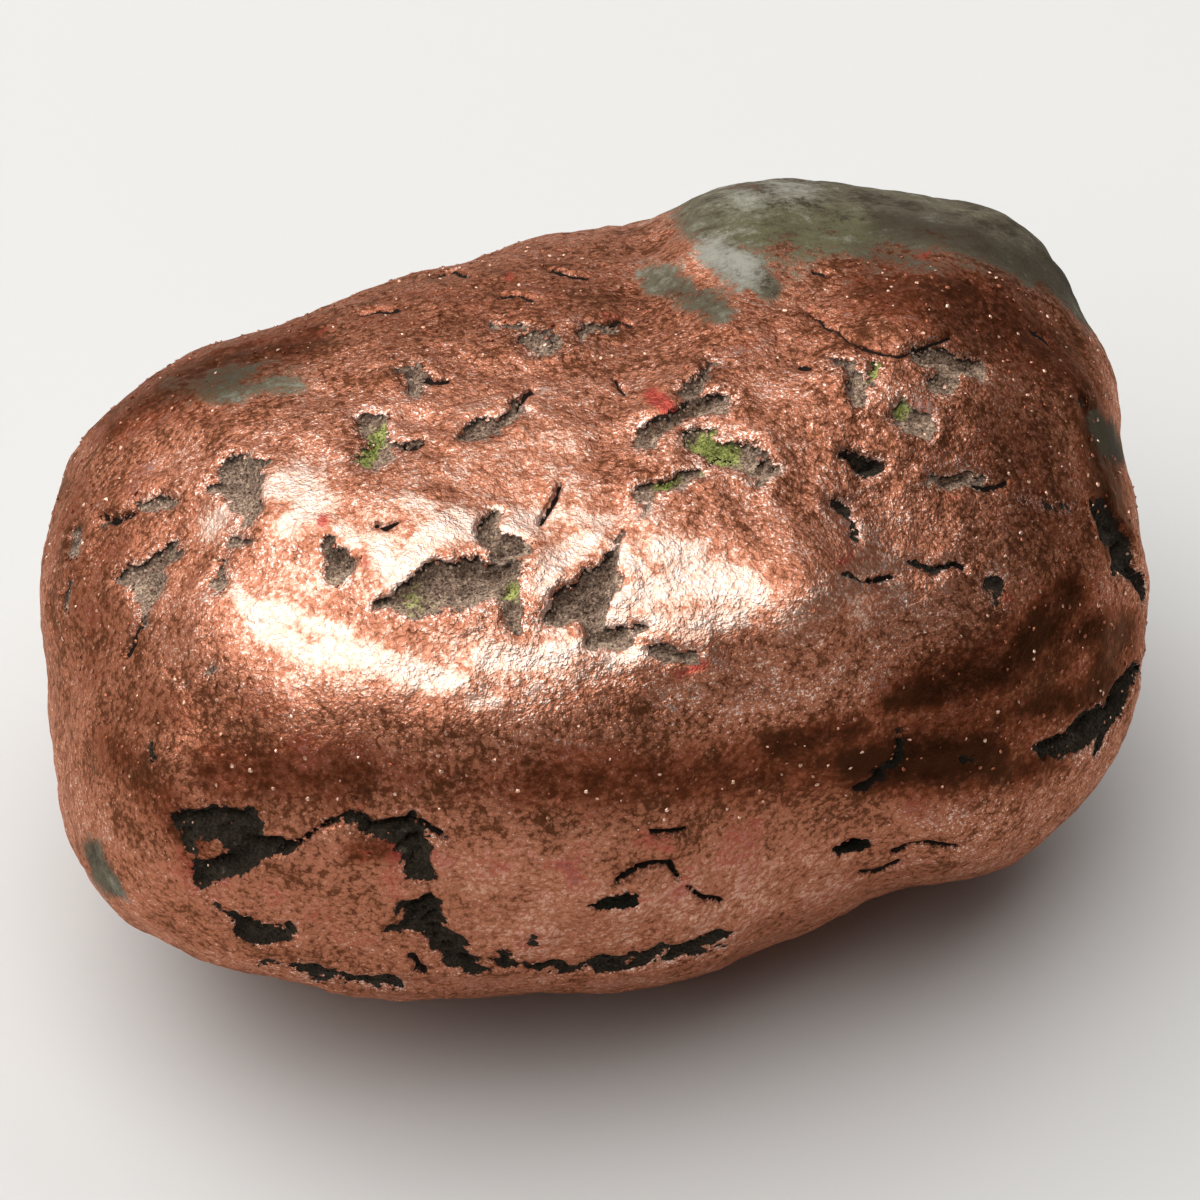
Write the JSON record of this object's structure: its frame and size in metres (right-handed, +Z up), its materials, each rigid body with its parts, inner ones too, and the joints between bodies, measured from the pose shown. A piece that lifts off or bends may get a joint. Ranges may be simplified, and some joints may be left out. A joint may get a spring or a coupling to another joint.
{
  "type": "native copper nugget",
  "caption": "Waterworn lump of native copper with host rock locked in ragged hollows; lies flat on a small worn foot.",
  "frame": {"origin": "on the surface the lump lies on, under the middle of its box", "axes": "+X along the longest side, +Z up from the worn foot, broad face towards -Y"},
  "size_m": [0.042, 0.032, 0.0236],
  "materials": {
    "native_copper": "peened and waterworn bare copper, browned on top, with grey-green host rock in its hollows",
    "host_rock": "grey-green weathered rock grains with a little yellow-green epidote"
  },
  "bodies": {
    "root": {"nugget": "native_copper"}
  },
  "joints": []
}
